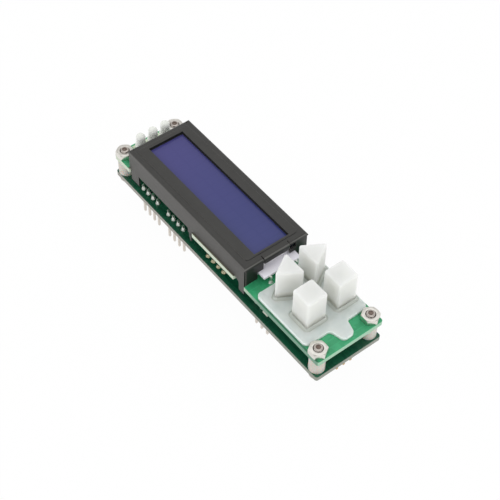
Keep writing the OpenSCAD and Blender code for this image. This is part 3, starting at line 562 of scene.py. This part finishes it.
def copied(node, name):
    """A copy of a solid with its flat faces joined, standing for the solid."""
    obj = bpy.data.objects.new(name, NODES[node].data.copy())
    bpy.context.scene.collection.objects.link(obj)
    only(obj)
    bpy.ops.object.mode_set(mode="EDIT")
    bpy.ops.mesh.select_all(action="SELECT")
    bpy.ops.mesh.remove_doubles(threshold=0.001 * MM)
    bpy.ops.mesh.dissolve_limited(angle_limit=math.radians(0.4))
    bpy.ops.object.mode_set(mode="OBJECT")
    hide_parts(node)
    return obj


def settled(name):
    """The primitive that was just added, named, with its place and size in its mesh."""
    obj = bpy.context.object
    obj.name = name
    bpy.ops.object.transform_apply(location=True, rotation=True, scale=True)
    return obj


def every(item):
    return True


def faces_up(face):
    return face.normal.z > 0.9


def faces_down(face):
    return face.normal.z < -0.9


def upright(face):
    return abs(face.normal.z) < 0.5


def close(a, b, reach=0.02):
    return abs(a - b) < reach


def pick(obj, kind, test):
    """Edit mode, with the vertices, edges or faces selected that pass the test."""
    only(obj)
    bpy.ops.object.mode_set(mode="EDIT")
    bpy.ops.mesh.select_mode(type=kind)
    bpy.ops.mesh.select_all(action="DESELECT")
    bpy.ops.object.mode_set(mode="OBJECT")
    mesh = obj.data
    for item in {"VERT": mesh.vertices, "EDGE": mesh.edges, "FACE": mesh.polygons}[kind]:
        item.select = test(item)
    bpy.ops.object.mode_set(mode="EDIT")


def inset_rings(rings):
    """Insets the selected faces ring by ring: how far each steps in, and how far it rises."""
    for inwards, rise in rings:
        bpy.ops.mesh.inset(thickness=inwards * MM, depth=rise * MM)


def round_edges(obj, test, width, segments=3):
    """Rounds the edges whose two ends pass the test, which takes a point in millimetres."""
    pick(obj, "EDGE", lambda edge: all(test(obj.data.vertices[i].co / MM) for i in edge.vertices))
    bpy.ops.mesh.bevel(offset=width * MM, segments=segments, affect="EDGES", clamp_overlap=True)
    bpy.ops.object.mode_set(mode="OBJECT")


def smoothed(obj, angle=35.0):
    """Smooth shading across edges that turn less than the angle."""
    only(obj)
    bpy.ops.object.shade_smooth_by_angle(angle=math.radians(angle))


def soften(obj, width, segments=2, angle=40.0, slot=-1):
    """Rounds every sharp edge. The new faces take the material in the slot, or their neighbours'."""
    bevel = obj.modifiers.new("edge", "BEVEL")
    bevel.material = slot
    bevel.width = width * MM
    bevel.segments = segments
    bevel.limit_method = "ANGLE"
    bevel.angle_limit = math.radians(angle)
    bevel.use_clamp_overlap = True
    only(obj)
    bpy.ops.object.modifier_apply(modifier="edge")
    smoothed(obj)


def thicken(obj, thickness):
    """Gives a sheet its wall, on the side that it faces away from."""
    wall = obj.modifiers.new("wall", "SOLIDIFY")
    wall.thickness = thickness * MM
    wall.offset = -1.0
    only(obj)
    bpy.ops.object.modifier_apply(modifier="wall")


def as_built(node, *finish_names):
    """Shows a solid as it is."""
    finish(NODES[node], *finish_names)
    smoothed(NODES[node], angle=30.0)


def soften_all(finish_name, width, *nodes, body=ROOT, **options):
    """Stands a rounded copy in for each solid."""
    for node in nodes:
        obj = copied(node, node + "_rounded")
        soften(obj, width, **options)
        finish(obj, finish_name)
        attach(obj, body)


# ---- Boards and fixings -----------------------------------------------------------------------

BOARD_EDGE = 0.06
SPACER_EDGE = 0.12

NUT_COUNTERSINK = 0.26
# How far past the bore the thread is painted dark, as shade in the countersink, and how squarely up a
# face looks that keeps the bright nickel
THREAD_REACH = 0.3
NUT_FLAT = 0.95
NUT_EDGE = 0.1

SCREW_END_EDGE = 0.34
SCREW_EDGE = 0.04
# The dimple in a screw's end: how far each ring steps in, and how far it rises
DIMPLE = ((0.1, 0.0), (0.14, -0.4), (0.3, -0.14))
# The darker finish, painted shade in the dimple, reaches this far from the screw's axis, and lies within
# this depth
DIMPLE_R = 0.84
DIMPLE_DEPTH = 1.0


def from_screw(point):
    """The distance from a point to the axis of the nearest screw."""
    low, high = MM_BOX["nuts"]
    axis_x = (high.x - low.x) / 2 - NUT_POINT_R
    axis_y = (high.y - low.y) / 2 - NUT_FLAT_R
    return math.hypot(abs(point.x) - axis_x, abs(point.y) - axis_y)


def nuts():
    """Hexagon nuts with a countersunk thread."""
    obj = copied("nuts", "nuts_countersunk")

    def at_bore(p):
        return close(p.z, NUT_TOP) and close(from_screw(p), NUT_BORE_R, 0.1)

    round_edges(obj, at_bore, NUT_COUNTERSINK, segments=1)
    finish(obj, "nickel", "thread")
    # The countersink and the bore are painted dark, as the shade in the thread
    for face in obj.data.polygons:
        if from_screw(face.center / MM) < NUT_BORE_R + THREAD_REACH and face.normal.z < NUT_FLAT:
            face.material_index = 1
    soften(obj, NUT_EDGE, angle=25.0)
    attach(obj, ROOT)


def screws():
    """Pan head screws. The end of each has a round dimple."""
    obj = copied("screws", "screws_dimpled")
    round_edges(obj, lambda p: close(p.z, SCREW_TOP), SCREW_END_EDGE, segments=2)
    pick(obj, "FACE", lambda face: faces_up(face) and close(face.center.z / MM, SCREW_TOP))
    inset_rings(DIMPLE)
    bpy.ops.object.mode_set(mode="OBJECT")
    finish(obj, "screw", "dimple")
    # The dimple is painted darker, as the shade inside it
    for face in obj.data.polygons:
        at = face.center / MM
        below_end = SCREW_TOP - at.z
        face.material_index = int(from_screw(at) < DIMPLE_R and 0.02 < below_end < DIMPLE_DEPTH)
    soften(obj, SCREW_EDGE, angle=30.0)
    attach(obj, ROOT)


soften_all("board_bright", BOARD_EDGE, "upper_board")
soften_all("board_dark", BOARD_EDGE, "lower_board")
soften_all("nylon", SPACER_EDGE, "spacers")
nuts()
screws()


# ---- Bezel ------------------------------------------------------------------------------------

FIELD_EDGE = 0.26
SHEET_EDGE = 0.08
# How far in from the outside the fold of the sheet is painted with a highlight
FOLD_REACH = 0.55
# A face that turns this far to both X and Y goes round a corner
CORNER_TURN = 0.35

# The black frame, which is painted shade, shows this far inside the sheet's window, with a gap to the
# sheet and to the film
SHADE_FRAME_LIP = 0.12
SHADE_FRAME_GAP_ABOVE = 0.02
SHADE_FRAME_GAP_BELOW = 0.01
SHADE_FRAME_EDGE = 0.03


def bezel():
    """The folded sheet. The step of its raised field is a soft slope, as a press leaves it."""
    obj = copied("bezel", "bezel_folded")
    low, high = MM_BOX["bezel"]
    film_low, film_high = MM_BOX["front_polarizer"]

    def in_window(p):
        return film_low.x < p.x < film_high.x and film_low.y < p.y < film_high.y

    round_edges(obj, lambda p: close(p.z, FIELD_TOP) and not in_window(p), FIELD_EDGE)
    finish(obj, "bezel", "bezel_edge", "foam")
    for face in obj.data.polygons:
        at = face.center / MM
        from_outside = min(at.x - low.x, high.x - at.x, at.y - low.y, high.y - at.y)
        slanting = 0.1 < face.normal.z < 0.97
        at_corner = min(abs(face.normal.x), abs(face.normal.y)) > CORNER_TURN
        if upright(face) and (in_window(at) or at_corner):
            # The cut edge of the window is painted black, as the shade inside it, and so are upright
            # faces that go round a corner, as the shade of the gap there
            face.material_index = 2
        elif slanting and from_outside < FOLD_REACH and at.z < FIELD_TOP - FIELD_H:
            # The outer fold is painted paler, as a highlight
            face.material_index = 1
    # The rounded edges take the painted highlight as well
    soften(obj, SHEET_EDGE, slot=1)
    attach(obj, ROOT)


def window_shade_frame():
    """A black frame between the sheet and the glass: painted shade that darkens the edge of the film."""
    low, high = MM_BOX["front_polarizer"]
    middle = (low + high) / 2
    shade_frame_top = FIELD_TOP - FIELD_H - SHEET_T - SHADE_FRAME_GAP_ABOVE
    bpy.ops.object.select_all(action="DESELECT")
    bpy.ops.mesh.primitive_plane_add(size=MM, location=(middle.x * MM, middle.y * MM, shade_frame_top * MM))
    bpy.context.object.scale = (high.x - low.x, high.y - low.y, 1)
    obj = settled("window_shade_frame")
    pick(obj, "FACE", every)
    inset_rings([(POLARIZER_LAP + SHADE_FRAME_LIP, 0.0)])
    bpy.ops.mesh.delete(type="FACE")
    bpy.ops.object.mode_set(mode="OBJECT")
    thicken(obj, shade_frame_top - high.z - SHADE_FRAME_GAP_BELOW)
    soften(obj, SHADE_FRAME_EDGE)
    finish(obj, "foam")
    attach(obj, ROOT)


bezel()
window_shade_frame()


# ---- Status lamps -----------------------------------------------------------------------------

# The reflector cup: its two radii, its height, and how far its rim lies below the lamp's top
CUP_R = 0.62
CUP_FOOT_R = 0.34
CUP_H = 0.7
CUP_BELOW_TOP = 2.6
# The hollow of the cup: how far each ring steps in, and how far it rises
CUP_HOLLOW = ((0.1, 0.0), (0.22, -0.4))

# The two legs: the place of each across the lamp, its width, and how far it ends below the cup's rim
LAMP_LEGS = ((-0.55, 0.9, 0.6), (0.75, 0.4, 0.3))
LEG_T = 0.42
# The width of a leg's foot, as a share of its top
LEG_TAPER = 0.55
# How far above the foot of the clear body the legs start
LEG_START = 0.7
LAMP_FRAME_EDGE = 0.04


def lamp_leg(name, x, y, foot, top, width):
    """A flat leg inside a lamp, which narrows towards its foot."""
    bpy.ops.object.select_all(action="DESELECT")
    bpy.ops.mesh.primitive_cube_add(
        size=MM, location=(x * MM, y * MM, (foot + top) / 2 * MM), scale=(LEG_T, width, top - foot))
    leg = settled(name)
    pick(leg, "FACE", faces_down)
    bpy.ops.transform.resize(value=(1, LEG_TAPER, 1))
    bpy.ops.object.mode_set(mode="OBJECT")
    return leg


def lamp_frame(node):
    """The metal inside a clear lamp: an anvil with a reflector cup, and a thinner post beside it."""
    low, high = MM_BOX[node]
    x = (low.x + high.x) / 2
    y = high.y - LAMP_R
    foot = high.z - LAMP_BODY_H + LEG_START
    cup_top = high.z - CUP_BELOW_TOP
    bpy.ops.object.select_all(action="DESELECT")
    bpy.ops.mesh.primitive_cone_add(
        vertices=24, radius1=CUP_FOOT_R * MM, radius2=CUP_R * MM, depth=CUP_H * MM,
        location=(x * MM, y * MM, (cup_top - CUP_H / 2) * MM))
    obj = settled(node + "_frame")
    pick(obj, "FACE", faces_up)
    inset_rings(CUP_HOLLOW)
    bpy.ops.object.mode_set(mode="OBJECT")
    legs = [
        lamp_leg(node + "_leg", x, y + offset, foot, cup_top - below_rim, width)
        for offset, width, below_rim in LAMP_LEGS
    ]
    only(obj)
    for leg in legs:
        leg.select_set(True)
    bpy.ops.object.join()
    soften(obj, LAMP_FRAME_EDGE)
    finish(obj, "lead")
    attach(obj, ROOT)


for lamp in LAMPS:
    lamp_frame(lamp)
    as_built(lamp, "epoxy")


# ---- Key pad ----------------------------------------------------------------------------------

MAT_TOP_EDGE = 0.32
MAT_EDGE = 0.1
KEY_EDGE = 0.75
# How far the holes in the mat reach past the keys
HOLE_REACH = 1.05

# The skirt round a key, from the mat inwards: how far each ring steps in, and how far it rises
SKIRT = ((0.14, 0.0), (0.18, 0.03), (0.19, 0.07), (0.16, 0.11), (0.13, 0.15), (0.1, 0.2), (0.06, 0.24))
# How far below the mat's top the skirt starts, and its thickness
SKIRT_DROP = 0.22
SKIRT_T = 0.15
# How far above the skirt's start and how far below its top two heights are taken
SKIRT_HELD_BELOW = 0.01
SKIRT_HELD_ABOVE = 0.04


def in_key_hole(p):
    """Whether a point lies at a key or the web round it."""
    for key in KEYS:
        low, high = MM_BOX[key]
        if (low.x - HOLE_REACH < p.x < high.x + HOLE_REACH
                and low.y - HOLE_REACH < p.y < high.y + HOLE_REACH):
            return True
    return False


def key_mat():
    """The silicone mat. Its outer upper edge is rounder than the edges of the key holes."""
    obj = copied("key_mat", "key_mat_moulded")
    round_edges(obj, lambda p: close(p.z, MAT_TOP) and not in_key_hole(p), MAT_TOP_EDGE, segments=4)
    soften(obj, MAT_EDGE)
    finish(obj, "mat")
    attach(obj, ROOT)


def upper_rim(obj, middle):
    """The numbers of the vertices round the upper edge of a web's outer wall."""
    vertices = set()
    for face in obj.data.polygons:
        outwards = (face.center / MM - middle).to_2d().dot(face.normal.to_2d())
        if upright(face) and outwards > 0:
            vertices.update(face.vertices)
    return {i for i in vertices if obj.data.vertices[i].co.z / MM > middle.z}


def key_skirt(key):
    """The soft skirt round a key. It starts below the mat's top and climbs the key's foot."""
    obj = copied(key + "_web", key + "_skirt")
    low, high = MM_BOX[key + "_web"]
    start = MAT_TOP - SKIRT_DROP
    # Only the rim of the web is kept. It is filled, and the rings of the skirt are drawn from it.
    rim = upper_rim(obj, (low + high) / 2)
    pick(obj, "VERT", lambda vertex: vertex.index not in rim)
    bpy.ops.mesh.delete(type="VERT")
    bpy.ops.mesh.select_all(action="SELECT")
    bpy.ops.mesh.edge_face_add()
    bpy.ops.transform.translate(value=(0, 0, (start - high.z) * MM))
    bpy.ops.object.mode_set(mode="OBJECT")
    if obj.data.polygons[0].normal.z < 0:
        pick(obj, "FACE", every)
        bpy.ops.mesh.flip_normals()
        bpy.ops.object.mode_set(mode="OBJECT")
    pick(obj, "FACE", every)
    inset_rings(SKIRT)
    bpy.ops.mesh.delete(type="FACE")
    bpy.ops.object.mode_set(mode="OBJECT")
    thicken(obj, SKIRT_T)
    smoothed(obj, angle=60.0)
    finish(obj, "web")
    top = max(vertex.co.z / MM for vertex in obj.data.vertices)
    still, moved = (start + SKIRT_HELD_BELOW) * MM, (top - SKIRT_HELD_ABOVE) * MM
    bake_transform(obj)


key_mat()
for key in KEYS:
    soften_all("key", KEY_EDGE, key, body=key, segments=8)
    finish(NODES[key + "_contact"], "carbon")
    key_skirt(key)


# ---- Connectors and electronic parts ----------------------------------------------------------

MOULDING_EDGE = 0.08
CHIP_EDGE = 0.06

# Solids that are shown as they are, and their finish
AS_BUILT = {
    "front_glass": "glass", "rear_glass": "glass",
    "front_polarizer": "film", "rear_polarizer": "film",
    "contact_strip_lower": "strip", "contact_strip_upper": "strip",
    "light_guide": "guide", "lamp_board_leads": "solder",
    "end_header_pins": "gold", "link_pins": "tin", "spare_joints": "joint",
    "usb_shell": "plated", "usb_tongue": "black", "crystal": "plated",
    "display_drivers": "black", "filter_capacitor": "can",
}


def lower_header_pins(node):
    """Tinned pins, whose joints above the lower board are bright solder."""
    as_built(node, "tin", "solder")
    for face in NODES[node].data.polygons:
        if face.center.z / MM > LOWER_BOARD_TOP - 0.01:
            face.material_index = 1


soften_all("cream", MOULDING_EDGE, *(header + "_body" for header in LOWER_HEADERS), "end_header_body")
soften_all(
    "black", MOULDING_EDGE, "link_socket", "link_header_body", "controller_chip", "driver_transistors")
soften_all("white_board", MOULDING_EDGE, "lamp_board")
soften_all("ceramic", CHIP_EDGE, "chip_parts")
for node, finish_name in AS_BUILT.items():
    as_built(node, finish_name)
for header in LOWER_HEADERS:
    lower_header_pins(header + "_pins")


# ---- Floor, light and camera ------------------------------------------------------------------

WHITE = 1.0, 1.0, 1.0
FLOOR_SIZE = 6.0
FLOOR_GREY = 0.8, 0.8, 0.8
# How white the floor looks to the camera, and how white in reflections
FLOOR_GLOW = 0.97
FLOOR_GLOSS_GLOW = 0.6
# The strength of the room's light, and of the ceiling that shiny surfaces reflect
ROOM = 1.0
CEILING = 0.6
# The ceiling fades in between these heights of a ray's direction, where 1 is straight up
CEILING_FROM = 0.25
CEILING_FULL = 0.6

# The softboxes: place and size in metres, and power in watts. All of them point at the module.
SOFTBOXES = {
    "overhead": ((-0.1, 0.15, 0.75), (0.7, 0.7), 0.85),
    "front_left": ((-0.35, -0.6, 0.35), (0.5, 0.4), 0.6),
    "right_end": ((0.7, -0.1, 0.35), (0.4, 0.5), 0.85),
}

# The camera: its place in metres, its turn in degrees, and its lens
CAMERA_PLACE = 0.1801, -0.1404812, 0.27666
CAMERA_TURN = 39.59951, -0.71182, 52.21145
SENSOR_WIDTH = 36.0
FOCAL_LENGTH = 86.599


def backdrop():
    """A pale floor at the module's lowest point. The camera sees it near white, with its shadow."""
    low = cad_bounds[0]
    bpy.ops.object.select_all(action="DESELECT")
    bpy.ops.mesh.primitive_plane_add(size=FLOOR_SIZE, location=(0, 0, low[2]))
    floor = settled("floor")
    paint = Paint("floor_pale", FLOOR_GREY, 0.9)
    rays = paint.node("LightPath")
    glow = paint.node("Emission", {}, {"Color": WHITE})
    direct = rays["Is Camera Ray"].max(rays["Is Transmission Ray"])
    seen = (direct * FLOOR_GLOW).max(rays["Is Glossy Ray"] * FLOOR_GLOSS_GLOW)
    paint.show(paint.either(seen, paint.shader, glow))
    floor.data.materials.append(paint.material)


def world():
    """An even room. The camera sees it white, and shiny surfaces see a greyer ceiling in it."""
    studio = bpy.data.worlds.new("studio")
    bpy.context.scene.world = studio
    shading = Shading(studio, "ShaderNodeOutputWorld")
    room, white, ceiling = (
        shading.node("Background", {}, {"Color": WHITE, "Strength": strength})
        for strength in (ROOM, 1.0, CEILING)
    )
    rays = shading.node("LightPath")
    height = shading.node("SeparateXYZ", {}, {0: shading.node("TexCoord")["Generated"]})["Z"]
    above = shading.node(
        "MapRange", {"interpolation_type": "LINEAR"},
        {"Value": height, "From Min": CEILING_FROM, "From Max": CEILING_FULL},
    )
    glossy = rays["Is Glossy Ray"]
    shown = rays["Is Camera Ray"].max(rays["Is Transmission Ray"]).max(glossy)
    shading.show(shading.either(shown, room, shading.either(above * glossy, white, ceiling)))


def softbox(name, place, size, power):
    """A rectangular lamp that points at the module."""
    light = bpy.data.lights.new(name, "AREA")
    light.shape = "RECTANGLE"
    light.size, light.size_y = size
    light.energy = power
    obj = bpy.data.objects.new(name, light)
    bpy.context.scene.collection.objects.link(obj)
    obj.location = place
    obj.rotation_euler = (-Vector(place)).to_track_quat("-Z", "Y").to_euler()


def camera():
    """The view of the module from its key end, from above and from the display's lower side."""
    lens = bpy.data.cameras.new("camera")
    lens.sensor_width = SENSOR_WIDTH
    lens.lens = FOCAL_LENGTH
    lens.clip_start = 0.01
    obj = bpy.data.objects.new("camera", lens)
    bpy.context.scene.collection.objects.link(obj)
    turn = Euler([math.radians(angle) for angle in CAMERA_TURN])
    obj.matrix_world = Matrix.LocRotScale(Vector(CAMERA_PLACE), turn, None)
    bpy.context.scene.camera = obj


backdrop()
world()
for name, (place, size, power) in SOFTBOXES.items():
    softbox(name, place, size, power)
camera()
bpy.context.scene.view_settings.view_transform = "Standard"
